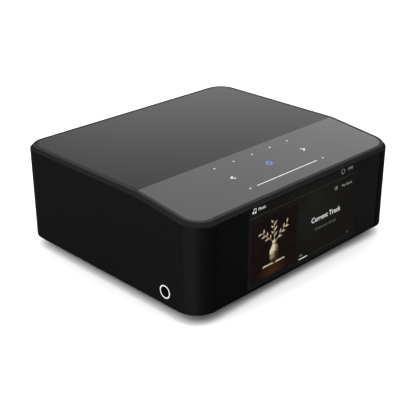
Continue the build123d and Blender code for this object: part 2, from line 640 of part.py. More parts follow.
with BuildPart() as xlr_pins:
    for x in XLR_X.values():
        for pin_x, pin_z in XLR_PINS:
            rod_y(x + pin_x, XLR_Z + pin_z, 1.15, PANEL_Y - 21.5, PANEL_Y - 1.5)
    fillet(xlr_pins.edges().group_by(Axis.Y)[-1], 0.9)
xlr_pins.part.label = "xlr_pins"
export_step(xlr_pins.part, "parts/xlr_pins.step")

# ------------------------------------------------------------------ phono sockets and their coloured collars
for name, (x, z) in PHONO.items():
    with BuildPart() as phono:
        rod_y(x, z, PHONO_R, PANEL_Y + PHONO_START, PANEL_Y + PHONO_L)
        chamfer(phono.faces().sort_by(Axis.Y)[-1].edges(), 0.5)
        rod_y(x, z, PHONO_R - 0.2, PANEL_Y - 6, PANEL_Y + PHONO_START)
        block(about(x, 5.5), (PANEL_Y - 14, PANEL_BACK_Y - 0.2), (z - 5.9, z + 6.4))
        rod_y(x, z, 1.7, PANEL_Y - 4, PANEL_Y + PHONO_L + 1, mode=Mode.SUBTRACT)
    phono.part.label = name
    export_step(phono.part, f"parts/{name}.step")

with BuildPart() as phono_collars:
    for x, z in PHONO.values():
        rod_y(x, z, 6.0, PANEL_Y, PANEL_Y + 1.2)
    fillet(phono_collars.edges().group_by(Axis.Y)[-1], 0.4)
    for x, z in PHONO.values():
        rod_y(x, z, 5.2, PANEL_BACK_Y, PANEL_Y)
        rod_y(x, z, PHONO_R + 0.05, PANEL_Y - 3, PANEL_Y + 3, mode=Mode.SUBTRACT)
phono_collars.part.label = "phono_collars"
export_step(phono_collars.part, "parts/phono_collars.step")

# ------------------------------------------------------------------ mains inlet for a figure-of-eight plug
inlet_pins_x = [INLET_X - INLET_PITCH / 2, INLET_X + INLET_PITCH / 2]
with BuildPart() as mains_inlet:
    block(about(INLET_X, 12), (PANEL_Y - 22, PANEL_BACK_Y - 0.2), (BOARD_TOP, INLET_Z + 8.5))
    block(about(INLET_X, 10.5), (PANEL_Y - 6, FACE_Y), about(INLET_Z, 7))
    with BuildSketch(Plane.XZ.offset(-FACE_Y)):
        with Locations(*[(x, INLET_Z) for x in inlet_pins_x]):
            Circle(4.3)
        with Locations((INLET_X, INLET_Z)):
            Rectangle(INLET_PITCH, 6.6)
    extrude(amount=13, mode=Mode.SUBTRACT)
    for x in inlet_pins_x:
        rod_y(x, INLET_Z, 1.25, PANEL_Y - 20, PANEL_Y - 12, mode=Mode.SUBTRACT)
mains_inlet.part.label = "mains_inlet"
export_step(mains_inlet.part, "parts/mains_inlet.step")

with BuildPart() as mains_inlet_pins:
    for x in inlet_pins_x:
        rod_y(x, INLET_Z, 1.2, PANEL_Y - 19.5, PANEL_Y - 2.5)
    fillet(mains_inlet_pins.edges().group_by(Axis.Y)[-1], 0.8)
mains_inlet_pins.part.label = "mains_inlet_pins"
export_step(mains_inlet_pins.part, "parts/mains_inlet_pins.step")

# ------------------------------------------------------------------ reset button and the switch behind it
switch_y = PANEL_Y - 7 - BUTTON_TRAVEL - 0.1
with BuildPart() as reset_button:
    rod_y(BUTTON_X, BUTTON_Z, BUTTON_R, PANEL_Y - 7, PANEL_Y + 1.2)
    fillet(reset_button.faces().sort_by(Axis.Y)[-1].edges(), 0.5)
    rod_y(BUTTON_X, BUTTON_Z, 2.8, PANEL_BACK_Y - 1.9, PANEL_BACK_Y - 0.1)
reset_button.part.label = "reset_button"
export_step(reset_button.part, "parts/reset_button.step")

with BuildPart() as reset_switch:
    block(about(BUTTON_X, 4), (switch_y - 5, switch_y), (BOARD_TOP, BUTTON_Z + 4))
reset_switch.part.label = "reset_switch"
export_step(reset_switch.part, "parts/reset_switch.step")

# ------------------------------------------------------------------ rear panel
square_holes = [  # middle x, half width, z limits
    (ETHERNET_X, 8, ethernet_z),
    (USB_X, 7.2, usb_z),
    (HDMI_X, 7.6, hdmi_z),
    (USB_C_X, 4.6, about(usb_c_middle, 1.75)),
    (INLET_X, 10.5, about(INLET_Z, 7)),
]
square_holes += [
    (x, OPTICAL_HALF, (BOARD_TOP, BOARD_TOP + OPTICAL_H)) for x in OPTICAL_X.values()
]
round_holes = [(TRIGGER_X, trigger_z, 3.0 + CUT_GAP), (BUTTON_X, BUTTON_Z, BUTTON_R + 0.1)]
round_holes += [(x, XLR_Z, 11.4) for x in XLR_X.values()]
round_holes += [(x, z, 5.25) for x, z in PHONO.values()]
round_holes += [(x, z, HOLE_R + 0.1) for x, z in PANEL_SCREWS]
with BuildPart() as rear_panel:
    with BuildSketch(Plane.XZ.offset(-PANEL_Y)):
        with Locations((0, sum(RECESS_Z) / 2)):
            RectangleRounded(2 * RECESS_X - 0.4, RECESS_Z[1] - RECESS_Z[0] - 0.4, 1.0)
        for x, half, (z_min, z_max) in square_holes:
            with Locations((x, (z_min + z_max) / 2)):
                Rectangle(2 * (half + CUT_GAP), z_max - z_min + 2 * CUT_GAP, mode=Mode.SUBTRACT)
        for x, z, radius in round_holes:
            with Locations((x, z)):
                Circle(radius, mode=Mode.SUBTRACT)
    extrude(amount=REAR_PANEL_T)
rear_panel.part.label = "rear_panel"
export_step(rear_panel.part, "parts/rear_panel.step")

panel_screw = screw(2.3, 1.4, 4.2)
with BuildPart() as rear_panel_screws:
    with Locations(*[Location((x, PANEL_Y, z), (-90, 0, 0)) for x, z in PANEL_SCREWS]):
        add(panel_screw)
rear_panel_screws.part.label = "rear_panel_screws"
export_step(rear_panel_screws.part, "parts/rear_panel_screws.step")

# ------------------------------------------------------------------ display ribbon and power harness
with BuildPart() as display_flex:
    with BuildSketch(Plane.YZ.offset(BRACKET_X)):
        with BuildLine():
            route = [(TRAY_Y[1] + 0.3, 40), (-80, 36), (-70, 27), (-60, 22), (-46, 20.4)]
            trace = Polyline(*route)
            offset(trace, 0.2, side=Side.BOTH)
        make_face()
    extrude(amount=9, both=True)
    block(about(BRACKET_X, 10), (-46, -41), (BOARD_TOP, BOARD_TOP + 2))
display_flex.part.label = "display_flex"
export_step(display_flex.part, "parts/display_flex.step")

harness_z = BOARD_TOP + 3.2
harness = [(45, 21), (41.6, 21.3), (38.2, 22.9), (34.4, 24.9), (31, 25.2)]
runs = [math.dist(a, b) for a, b in zip(harness, harness[1:])]
steps = [Vector(b[0] - a[0], b[1] - a[1], 0) for a, b in zip(harness, harness[1:])]
radii = [
    0.45 * min(run, following) / math.tan(math.radians(step.get_angle(onward) / 2))
    for run, following, step, onward in zip(runs, runs[1:], steps, steps[1:])
]
print("harness radii", [round(radius, 1) for radius in radii])
with BuildPart() as power_harness:
    with BuildLine(Plane.XY.offset(harness_z)):
        FilletPolyline(*harness, radius=radii)
    with BuildSketch(Plane(origin=(*harness[0], harness_z), z_dir=steps[0])):
        Circle(1.0)
    sweep()
    block((45, 50), (17, 25), (BOARD_TOP, BOARD_TOP + 6))
    block((26, 31), (21.2, 29.2), (BOARD_TOP, BOARD_TOP + 6))
power_harness.part.label = "power_harness"
export_step(power_harness.part, "parts/power_harness.step")
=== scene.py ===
"""Look of the desktop network audio player: finishes, touch symbols, display picture and socket details."""

import math

import bmesh
import bpy
from mathutils import Matrix, Vector


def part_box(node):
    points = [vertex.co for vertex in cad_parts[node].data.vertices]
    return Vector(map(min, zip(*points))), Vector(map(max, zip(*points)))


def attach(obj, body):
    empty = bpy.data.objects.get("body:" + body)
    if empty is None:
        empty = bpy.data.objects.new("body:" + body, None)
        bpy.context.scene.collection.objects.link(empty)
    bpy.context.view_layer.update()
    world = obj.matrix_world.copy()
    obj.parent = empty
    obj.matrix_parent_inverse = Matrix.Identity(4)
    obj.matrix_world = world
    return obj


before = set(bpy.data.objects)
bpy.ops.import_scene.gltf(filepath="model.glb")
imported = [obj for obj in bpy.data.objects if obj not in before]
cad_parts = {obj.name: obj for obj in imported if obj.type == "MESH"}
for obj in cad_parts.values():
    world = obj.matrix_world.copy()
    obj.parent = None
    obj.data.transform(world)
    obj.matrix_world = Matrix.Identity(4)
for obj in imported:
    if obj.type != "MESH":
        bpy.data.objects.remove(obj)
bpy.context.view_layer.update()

MM = 0.001
CASE = "case"

# ------------------------------------------------------------------ places read from the frame
glass_low, glass_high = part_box("front_glass")
lcd_low, lcd_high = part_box("lcd_panel")
shell_low, shell_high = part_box("chassis_left")
FRONT_Y = shell_low.y
TOP_Z = shell_high.z
CREASE_RUN = 61.3 * MM
SLOPE_DROP = 7.4 * MM
SLOPE = math.atan2(SLOPE_DROP, CREASE_RUN)


# ------------------------------------------------------------------ tones of the main finishes
WALL_TONE = (0.0058, 0.0058, 0.0059, 1)
# Painted shade: the shell's tone darkens from its left end to its right end.
RIGHT_SHADE_SHARE = 0.54  # tone of the shell's right end, as a share of its left end
# Painted highlight: a lighter strip down each upright corner, as a share of the left-end tone.
CORNER_HIGHLIGHT = 1.4
CORNER_FACING = (0.87, 0.50, 0)  # the way the light strip on each upright corner faces
# Painted shade: front-facing sides are darker, as this share of the left-end tone.
FRONT_SHADE = 0.45
# Chamfer and rim are lighter where they face up: their polished finish, with painted light from above.
CHAMFER_TONE = (0.012, 0.012, 0.0124, 1)
RIM_TONE = (0.030, 0.030, 0.031, 1)
# The front frame's tone lightens from its left end to its right end: a painted reflection.
FRAME_TONES = (0.0003, 0.0003, 0.00031, 1), (0.0028, 0.0028, 0.0028, 1)  # left end and right end
# The glass's black print lightens towards its right end: a painted reflection.
PRINT_AND_REFLECTION_TONES = (0.0005, 0.0005, 0.0005, 1), (0.0009, 0.0009, 0.0009, 1)  # left end and right end

# ------------------------------------------------------------------ places on the ring and the front glass
RING_BAND = 4.2 * MM, 5.0 * MM  # inner and outer radius of the bright band
RING_BLUR = 0.1 * MM
WINDOW_LEFT = 0.4 * MM  # how far inside the display's left end the clear window starts
WINDOW_RIGHT = 2.8 * MM
WINDOW_SILL = 1.1 * MM
WINDOW_BLUR = 0.2 * MM
PRINT_DEPTH = 0.4 * MM, 0.5 * MM  # the black print fades out this far behind the glass's front


# ------------------------------------------------------------------ materials
def srgb(red, green, blue):
    """Linear colour from the 0 to 255 values that a screen shows."""
    def linear(value):
        part = value / 255
        return part / 12.92 if part <= 0.04045 else ((part + 0.055) / 1.055) ** 2.4
    return linear(red), linear(green), linear(blue), 1.0


def grey(value):
    return srgb(value, value, value)


class Tree:
    """A material's node tree, with short ways to add and link nodes."""

    def __init__(self, name):
        self.material = bpy.data.materials.new(name)
        self.material.use_nodes = True
        self.tree = self.material.node_tree
        self.shader = self.tree.nodes["Principled BSDF"]
        self.coords = self.node("ShaderNodeTexCoord").outputs["Object"]

    def node(self, kind, **settings):
        made = self.tree.nodes.new(kind)
        for key, value in settings.items():
            setattr(made, key, value)
        return made

    def link(self, source, target):
        self.tree.links.new(source, target)

    def set(self, **values):
        """Puts plain values on the shader's own sockets."""
        for key, value in values.items():
            self.shader.inputs[key.replace("_", " ")].default_value = value

    def stretched(self, scale):
        """Object coordinates stretched along the three axes."""
        mapping = self.node("ShaderNodeMapping")
        mapping.inputs["Scale"].default_value = scale
        self.link(self.coords, mapping.inputs["Vector"])
        return mapping.outputs["Vector"]

    def noise(self, size, detail=3.0, vector=None):
        """Noise whose features are about size metres across."""
        texture = self.node("ShaderNodeTexNoise")
        texture.inputs["Scale"].default_value = 1 / size
        texture.inputs["Detail"].default_value = detail
        self.link(vector or self.coords, texture.inputs["Vector"])
        return texture.outputs["Fac"]

    def spread(self, value, low, high, start=0.3, end=0.7):
        """value from start..end mapped to low..high."""
        ranged = self.node("ShaderNodeMapRange")
        self.link(value, ranged.inputs["Value"])
        ranged.inputs["From Min"].default_value = start
        ranged.inputs["From Max"].default_value = end
        ranged.inputs["To Min"].default_value = low
        ranged.inputs["To Max"].default_value = high
        return ranged.outputs["Result"]

    def mix(self, factor, low, high):
        """Colour between two, each a colour or a socket."""
        mixed = self.node("ShaderNodeMix", data_type="RGBA")
        self.link(factor, mixed.inputs["Factor"])
        for slot, colour in ((6, low), (7, high)):
            if isinstance(colour, bpy.types.NodeSocket):
                self.link(colour, mixed.inputs[slot])
            else:
                mixed.inputs[slot].default_value = colour
        return mixed.outputs[2]

    def bump(self, height, distance, strength=1.0):
        bumped = self.node("ShaderNodeBump")
        bumped.inputs["Distance"].default_value = distance
        bumped.inputs["Strength"].default_value = strength
        self.link(height, bumped.inputs["Height"])
        self.link(bumped.outputs["Normal"], self.shader.inputs["Normal"])

    def math(self, operation, first, second=None):
        """Result of a sum, product or other operation on sockets."""
        made = self.node("ShaderNodeMath", operation=operation)
        for socket, value in zip(made.inputs, (first, second)):
            if value is not None:
                self.link(value, socket)
        return made.outputs["Value"]

    def axis(self, letter):
        """One object coordinate, in metres."""
        split = self.node("ShaderNodeSeparateXYZ")
        self.link(self.coords, split.inputs["Vector"])
        return split.outputs[letter]


def scaled(colour, factor):
    return tuple(channel * factor for channel in colour[:3]) + (1.0,)


def finish(
    name, colour, roughness, *, metallic=0.0, specular=0.5, coat=0.0, mottle=0.12, mottle_size=0.03,
    grain=0.00002, grain_size=0.0005, stretch=None, rough_spread=0.06,
):
    """Principled finish: slow colour mottle, roughness that varies with the fine grain, and a fine bump
    grain.
    """
    tree = Tree(name)
    vector = tree.stretched(stretch) if stretch else None
    slow = tree.noise(mottle_size, 4.0)
    fine = tree.noise(grain_size, 2.0, vector)
    shade = tree.mix(
        tree.spread(slow, 0, 1), scaled(colour, 1 - mottle), scaled(colour, 1 + mottle)
    )
    tree.link(shade, tree.shader.inputs["Base Color"])
    varied = tree.spread(fine, roughness - rough_spread, roughness + rough_spread)
    tree.link(varied, tree.shader.inputs["Roughness"])
    tree.set(Metallic=metallic, Specular_IOR_Level=specular, Coat_Weight=coat)
    tree.bump(fine, grain)
    return tree.material


def glow(name, colour, strength, flicker=0.05):
    """Lit ink: emission with a faint unevenness, over a dark plain base."""
    tree = Tree(name)
    uneven = tree.spread(tree.noise(0.0015, 2.0), 0, 1)
    shade = tree.mix(uneven, scaled(colour, 1 - flicker), scaled(colour, 1 + flicker))
    tree.link(shade, tree.shader.inputs["Emission Color"])
    tree.set(Emission_Strength=strength, Base_Color=grey(20), Roughness=0.6, Specular_IOR_Level=0.1)
    return tree.material


def shell_finish(name, left_tone, right_tone):
    """Bead-blasted black anodising with painted light and shade: a tone that runs from the left end to the
    right end, painted shade on front-facing sides, a painted highlight strip down each upright corner, and
    lighter chamfer and rim tones where it faces up, their polished finish with painted light from above.
    """
    tree = Tree(name)
    normal = tree.node("ShaderNodeTexCoord").outputs["Normal"]
    facing = tree.node("ShaderNodeSeparateXYZ")
    tree.link(normal, facing.inputs["Vector"])
    outward = tree.node("ShaderNodeVectorMath", operation="ABSOLUTE")
    tree.link(normal, outward.inputs[0])
    towards = tree.node("ShaderNodeVectorMath", operation="DOT_PRODUCT")
    towards.inputs[1].default_value = CORNER_FACING
    tree.link(outward.outputs["Vector"], towards.inputs[0])
    cornered = towards.outputs["Value"]
    slow = tree.spread(tree.noise(0.04, 4.0), -0.1, 0.1)
    fine = tree.noise(0.00035, 2.0)
    across = tree.spread(tree.axis("X"), 0, 1, shell_low.x, -shell_low.x)
    # Tone runs from the left end to the right end, with a random wobble: painted shade on the shell, a
    # painted reflection on the front frame.
    wall = tree.mix(tree.math("ADD", across, slow), left_tone, right_tone)
    # Painted shade: surfaces that face the front are darkened.
    front_shaded = tree.mix(tree.spread(facing.outputs["Y"], 1, 0, -1, -0.72), wall, scaled(left_tone, FRONT_SHADE))
    # Painted highlight: a lighter strip down each upright corner, where the surface faces along
    # CORNER_FACING.
    wear_and_highlight = tree.mix(tree.spread(cornered, 0, 1, 0.95, 1.0), front_shaded, scaled(left_tone, CORNER_HIGHLIGHT))
    # Lighter chamfer and rim tones by how far the surface faces up: polished finish plus painted light from
    # above.
    chamfered = tree.mix(tree.spread(facing.outputs["Z"], 0, 1, 0.3, 0.7), wear_and_highlight, CHAMFER_TONE)
    rimmed = tree.mix(tree.spread(facing.outputs["Z"], 0, 1, 0.8, 0.98), chamfered, RIM_TONE)
    tree.link(rimmed, tree.shader.inputs["Base Color"])
    tree.link(tree.spread(fine, 0.42, 0.54), tree.shader.inputs["Roughness"])
    tree.set(Specular_IOR_Level=0.001)
    tree.bump(fine, 0.000012)
    return tree.material


def ring_finish():
    """Headphone ring: one bright turned band, blackened inside it and at the ring's rim."""
    tree = Tree("headphone_ring")
    low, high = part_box("headphone_bezel_left")
    middle = tree.node("ShaderNodeVectorMath", operation="SUBTRACT")
    middle.inputs[1].default_value = (low + high) / 2
    tree.link(tree.coords, middle.inputs[0])
    across = tree.node("ShaderNodeVectorMath", operation="MULTIPLY")
    across.inputs[1].default_value = (0, 1, 1)
    tree.link(middle.outputs["Vector"], across.inputs[0])
    radius = tree.node("ShaderNodeVectorMath", operation="LENGTH")
    tree.link(across.outputs["Vector"], radius.inputs[0])
    inner = tree.spread(radius.outputs["Value"], 0, 1, RING_BAND[0] - RING_BLUR, RING_BAND[0])
    outer = tree.spread(radius.outputs["Value"], 1, 0, RING_BAND[1], RING_BAND[1] + RING_BLUR)
    band = tree.math("MULTIPLY", inner, outer)
    bright = tree.mix(tree.spread(tree.noise(0.002), 0, 1), (0.80, 0.80, 0.80, 1), (0.90, 0.90, 0.90, 1))
    tree.link(tree.mix(band, (0.002, 0.002, 0.002, 1), bright), tree.shader.inputs["Base Color"])
    tree.link(band, tree.shader.inputs["Metallic"])
    tree.link(tree.spread(tree.noise(0.0006), 0.14, 0.22), tree.shader.inputs["Roughness"])
    tree.set(Specular_IOR_Level=0.01)
    return tree.material


def board_finish():
    """Green solder mask with lighter copper tracks under it."""
    tree = Tree("board_green")
    tracks = tree.node("ShaderNodeTexBrick")
    tracks.inputs["Scale"].default_value = 180
    tracks.inputs["Mortar Size"].default_value = 0.035
    tracks.inputs["Color1"].default_value = (0.012, 0.07, 0.03, 1)
    tracks.inputs["Color2"].default_value = (0.008, 0.05, 0.022, 1)
    tracks.inputs["Mortar"].default_value = (0.03, 0.14, 0.06, 1)
    tree.link(tree.coords, tracks.inputs["Vector"])
    tree.link(tracks.outputs["Color"], tree.shader.inputs["Base Color"])
    tree.link(tree.spread(tree.noise(0.004), 0.3, 0.42), tree.shader.inputs["Roughness"])
    tree.bump(tracks.outputs["Fac"], 0.00004)
    return tree.material


def collar_finish():
    """Insulating collars: red, white, black and orange, one on each phono socket."""
    tree = Tree("collar_colours")
    (left_low, left_high), (right_low, right_high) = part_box("phono_left"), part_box("phono_right")
    sub_low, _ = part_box("phono_subwoofer")
    upper = tree.spread(
        tree.axis("Z"), 0, 1, (left_low.z + right_high.z) / 2 - 0.0001, (left_low.z + right_high.z) / 2
    )
    inner = tree.spread(
        tree.axis("X"), 0, 1, (left_high.x + sub_low.x) / 2 - 0.0001, (left_high.x + sub_low.x) / 2
    )
    outer_pair = tree.mix(upper, (0.5, 0.012, 0.012, 1), (0.7, 0.7, 0.68, 1))
    inner_pair = tree.mix(upper, (0.7, 0.16, 0.01, 1), (0.02, 0.02, 0.02, 1))
    plain = tree.mix(inner, outer_pair, inner_pair)
    wear_and_highlight = tree.mix(tree.spread(tree.noise(0.0012), 0, 0.12), plain, (0.2, 0.2, 0.2, 1))
    tree.link(wear_and_highlight, tree.shader.inputs["Base Color"])
    tree.link(tree.spread(tree.noise(0.0006), 0.25, 0.38), tree.shader.inputs["Roughness"])
    return tree.material


def glass_finish():
    """Front glass: a clear window over the display, with black print on the rest of its front; the print
    lightens towards the right end, a painted reflection.
    """
    tree = Tree("front_glass_printed")
    uneven = tree.spread(tree.noise(0.05), -0.08, 0.08)
    across = tree.spread(tree.axis("X"), 0, 1, glass_low.x, glass_high.x)
    # Painted reflection: the print's tone lightens from the left end to the right end.
    shade = tree.mix(tree.math("ADD", across, uneven), *PRINT_AND_REFLECTION_TONES)
    tree.link(shade, tree.shader.inputs["Base Color"])
    tree.link(tree.spread(tree.noise(0.03), 0.08, 0.13), tree.shader.inputs["Roughness"])
    inside = [
        tree.spread(tree.axis(letter), 0, 1, edge - side * WINDOW_BLUR, edge)
        for letter, edge, side in (
            ("X", lcd_low.x + WINDOW_LEFT, 1), ("X", lcd_high.x - WINDOW_RIGHT, -1),
            ("Z", lcd_low.z + WINDOW_SILL, 1), ("Z", lcd_high.z, -1),
        )
    ]
    window = tree.math("MULTIPLY", tree.math("MULTIPLY", *inside[:2]), tree.math("MULTIPLY", *inside[2:]))
    behind = tree.spread(tree.axis("Y"), 0, 1, *(glass_low.y + depth for depth in PRINT_DEPTH))
    tree.link(tree.spread(tree.math("MAXIMUM", window, behind), 1, 0, 0, 1), tree.shader.inputs["Alpha"])
    tree.set(IOR=1.5, Specular_IOR_Level=0.009)
    return tree.material


def screen_finish():
    """The lit display's dark ground: a slow grey glow, lighter above and behind the title."""
    tree = Tree("display_ground")
    middle = tree.node("ShaderNodeMapping")
    middle.inputs["Location"].default_value = (-0.016, -lcd_low.y, -0.051)
    tree.link(tree.coords, middle.inputs["Vector"])
    squeezed = tree.node("ShaderNodeVectorMath", operation="MULTIPLY")
    squeezed.inputs[1].default_value = (1 / 0.042, 0, 1 / 0.030)
    tree.link(middle.outputs["Vector"], squeezed.inputs[0])
    distance = tree.node("ShaderNodeVectorMath", operation="LENGTH")
    tree.link(squeezed.outputs["Vector"], distance.inputs[0])
    halo = tree.spread(distance.outputs["Value"], 1, 0, 0.0, 1.0)
    cloudy = tree.node("ShaderNodeMath", operation="MULTIPLY")
    tree.link(halo, cloudy.inputs[0])
    tree.link(tree.spread(tree.noise(0.02, 2.0), 0.4, 1.0), cloudy.inputs[1])
    shade = tree.mix(cloudy.outputs["Value"], srgb(23, 22, 20), srgb(32, 32, 30))
    tree.link(shade, tree.shader.inputs["Emission Color"])
    tree.set(Emission_Strength=1.0, Base_Color=grey(2), Roughness=0.7, Specular_IOR_Level=0.0)
    return tree.material


def picture_finish():
    """The album picture's ground: near black with a warm brown pool under the vase."""
    tree = Tree("picture_ground")
    shift = tree.node("ShaderNodeMapping")
    shift.inputs["Location"].default_value = (0.032, 0.0, -0.017)
    tree.link(tree.coords, shift.inputs["Vector"])
    squeezed = tree.node("ShaderNodeVectorMath", operation="MULTIPLY")
    squeezed.inputs[1].default_value = (1 / 0.013, 0, 1 / 0.006)
    tree.link(shift.outputs["Vector"], squeezed.inputs[0])
    distance = tree.node("ShaderNodeVectorMath", operation="LENGTH")
    tree.link(squeezed.outputs["Vector"], distance.inputs[0])
    pool = tree.spread(distance.outputs["Value"], 1, 0, 0.0, 1.3)
    ground = tree.mix(tree.spread(tree.noise(0.012), 0, 1), srgb(19, 13, 12), srgb(25, 18, 16))
    shade = tree.mix(pool, ground, srgb(62, 36, 20))
    tree.link(shade, tree.shader.inputs["Emission Color"])
    tree.set(Emission_Strength=1.0, Base_Color=grey(2), Roughness=0.7, Specular_IOR_Level=0.0)
    return tree.material


def ivory_finish():
    """Ivory in the album picture: light and brown shading from the still life's own relief."""
    tree = Tree("ivory_glaze")
    relief = tree.node("ShaderNodeAttribute", attribute_name="relief").outputs["Fac"]
    veined = tree.spread(tree.noise(0.0018, 4.0), 0.78, 1.08)
    lit = tree.node("ShaderNodeMath", operation="MULTIPLY")
    tree.link(relief, lit.inputs[0])
    tree.link(veined, lit.inputs[1])
    ramp = tree.node("ShaderNodeValToRGB")
    stops = ramp.color_ramp
    stops.elements[0].position, stops.elements[0].color = 0.0, srgb(30, 18, 13)
    stops.elements[1].position, stops.elements[1].color = 1.0, srgb(226, 222, 196)
    middle = ((0.3, srgb(78, 50, 34)), (0.52, srgb(140, 126, 100)), (0.75, srgb(196, 190, 160)))
    for position, colour in middle:
        stops.elements.new(position).color = colour
    tree.link(lit.outputs["Value"], ramp.inputs["Fac"])
    tree.link(ramp.outputs["Color"], tree.shader.inputs["Emission Color"])
    tree.set(Emission_Strength=1.0, Base_Color=grey(2), Roughness=0.7, Specular_IOR_Level=0.0)
    return tree.material


brushed = (1.0, 14.0, 14.0)
SHELL = shell_finish("shell_black", WALL_TONE, scaled(WALL_TONE, RIGHT_SHADE_SHARE))
# The front frame shares the shell's painted light and shade, and its tone lightens to the right as a painted
# reflection.
FRAME = shell_finish("frame_black", *FRAME_TONES)
TOP = finish(
    "top_satin", (0.005, 0.005, 0.005, 1), 0.36, specular=0.035, mottle=0.05, mottle_size=0.08,
    grain=0.00001, grain_size=0.0003,
)
TOUCH = finish(
    "touch_satin", (0.014, 0.014, 0.014, 1), 0.38, specular=0.49, mottle=0.04, mottle_size=0.06,
    grain=0.000006, grain_size=0.0003,
)
STEEL = finish(
    "plated_steel", (0.42, 0.42, 0.41, 1), 0.3, metallic=1.0, stretch=brushed, grain_size=0.002, grain=0.00003
)
BRIGHT = ring_finish()
GOLD = finish("gold_plate", (0.8, 0.56, 0.2, 1), 0.24, metallic=1.0, mottle=0.08, mottle_size=0.003)
BRASS = finish("brass_posts", (0.65, 0.48, 0.22, 1), 0.35, metallic=1.0, mottle_size=0.003)
BLACK_SCREW = finish("black_screw", grey(34), 0.38, metallic=0.6, mottle_size=0.002, grain=0.00004)
POWDER = finish(
    "powder_coat", grey(26), 0.62, specular=0.15, grain=0.00012, grain_size=0.0009, mottle=0.15,
    mottle_size=0.01,
)
SOCKET = finish("headphone_socket", (0.002, 0.002, 0.002, 1), 0.6, specular=0.03, mottle_size=0.004)
PLASTIC = finish(
    "black_plastic", grey(24), 0.5, specular=0.2, grain=0.00005, grain_size=0.0007, mottle_size=0.008
)
RUBBER = finish(
    "pad_rubber", grey(38), 0.8, specular=0.15, grain=0.0001, grain_size=0.0008, mottle_size=0.006
)
SINK = finish("black_aluminium", grey(60), 0.4, metallic=0.8, stretch=brushed, grain_size=0.003)
CHIP = finish("chip_resin", grey(28), 0.55, specular=0.3, grain=0.00003, grain_size=0.0004, mottle_size=0.004)
TAPE = finish("transformer_tape", (0.55, 0.42, 0.06, 1), 0.35, coat=0.2, mottle=0.2, mottle_size=0.006)
SLEEVE = finish("capacitor_sleeve", (0.01, 0.02, 0.08, 1), 0.3, coat=0.3, mottle=0.2, mottle_size=0.01)
FILM = finish("amber_film", (0.42, 0.2, 0.05, 1), 0.3, coat=0.3, stretch=(8.0, 1.0, 1.0), grain_size=0.003)
CABLE = finish(
    "cable_sleeve", grey(30), 0.6, specular=0.2, stretch=(3.0, 3.0, 3.0), grain=0.0001, grain_size=0.0016
)
INFRARED = finish("infrared_filter", (0.001, 0.0005, 0.0006, 1), 0.3, specular=0.01, mottle_size=0.003)
BOARD = board_finish()
COLLARS = collar_finish()
GLASS = glass_finish()
SCREEN = screen_finish()

NODE_FINISH = {
    SHELL: ["chassis_left", "chassis_right", "chassis_rear"],
    FRAME: ["front_frame"],
    TOP: ["top_cover"],
    TOUCH: ["touch_panel"],
    GLASS: ["front_glass"],
    SCREEN: ["lcd_panel"],
    STEEL: [
        "backlight_tray", "display_bracket", "display_screws", "board_screws", "ethernet_jack", "usb_port",
        "hdmi_port", "usb_c_port",
    ],
    BRIGHT: ["headphone_bezel_left", "headphone_bezel_right"],
    GOLD: ["xlr_pins", "mains_inlet_pins", "phono_left", "phono_right", "phono_subwoofer", "phono_digital"],
    BRASS: ["board_posts"],
    BLACK_SCREW: ["foot_screws", "base_screws", "rear_panel_screws"],
    POWDER: ["base_plate", "rear_panel"],
    PLASTIC: [
        "foot_front_left", "foot_front_right", "foot_rear_left", "foot_rear_right", "optical_in_socket",
        "optical_out_socket", "optical_in_shutter", "optical_out_shutter", "trigger_jack", "xlr_left",
        "xlr_right", "mains_inlet", "reset_button", "reset_switch",
    ],
    SOCKET: ["headphone_jack_left", "headphone_jack_right"],
    RUBBER: ["foot_pads"],
    SINK: ["heat_sink", "supply_heat_sink"],
    CHIP: ["main_board_chips"],
    TAPE: ["transformer"],
    SLEEVE: ["smoothing_capacitors"],
    FILM: ["display_flex"],
    CABLE: ["power_harness"],
    INFRARED: ["proximity_sensor"],
    BOARD: ["main_board", "power_supply_board", "output_board", "touch_board"],
    COLLARS: ["phono_collars"],
}
for material, names in NODE_FINISH.items():
    for name in names:
        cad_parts[name].material_slots[0].material = material


# ------------------------------------------------------------------ flat artwork on a plane
def plane(origin, right, up):
    """Matrix whose local X and Y lie along right and up."""
    right, up = Vector(right).normalized(), Vector(up).normalized()
    matrix = Matrix((right, up, right.cross(up))).transposed().to_4x4()
    matrix.translation = origin
    return matrix


TOUCH_PLANE = plane(
    (0, FRONT_Y, TOP_Z - SLOPE_DROP), (1, 0, 0), (0, math.cos(SLOPE), math.sin(SLOPE))
)
SCREEN_PLANE = plane((0, lcd_low.y, 0), (1, 0, 0), (0, 0, 1))


def mesh_piece(name, mesh, matrix, material, body=CASE):
    """A finished mesh in the row frame, with its material, riding on a body."""
    mesh.transform(matrix)
    mesh.materials.clear()
    mesh.materials.append(material)
    piece = bpy.data.objects.new(name, mesh)
    bpy.context.scene.collection.objects.link(piece)
    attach(piece, body)
    return piece


def curve_mesh(curve):
    """The filled mesh of a 2D curve or text."""
    holder = bpy.data.objects.new("holder", curve)
    bpy.context.scene.collection.objects.link(holder)
    bpy.context.view_layer.update()
    evaluated = holder.evaluated_get(bpy.context.evaluated_depsgraph_get())
    mesh = bpy.data.meshes.new_from_object(evaluated)
    bpy.data.objects.remove(holder)
    return mesh


def artwork(name, outlines, where, material, proud=0.02, thick=0.03, body=CASE):
    """Closed outlines in mm, filled and thickened, proud of a plane. Inner outlines are holes."""
    curve = bpy.data.curves.new(name, "CURVE")
    curve.dimensions = "2D"
    curve.fill_mode = "BOTH"
    curve.extrude = thick * MM / 2
    for outline in outlines:
        spline = curve.splines.new("POLY")
        spline.points.add(len(outline) - 1)
        for point, (u, v) in zip(spline.points, outline):
            point.co = (u * MM, v * MM, 0, 1)
        spline.use_cyclic_u = True
    lift = Matrix.Translation((0, 0, (proud - thick / 2) * MM))
    return mesh_piece(name, curve_mesh(curve), where @ lift, material, body)


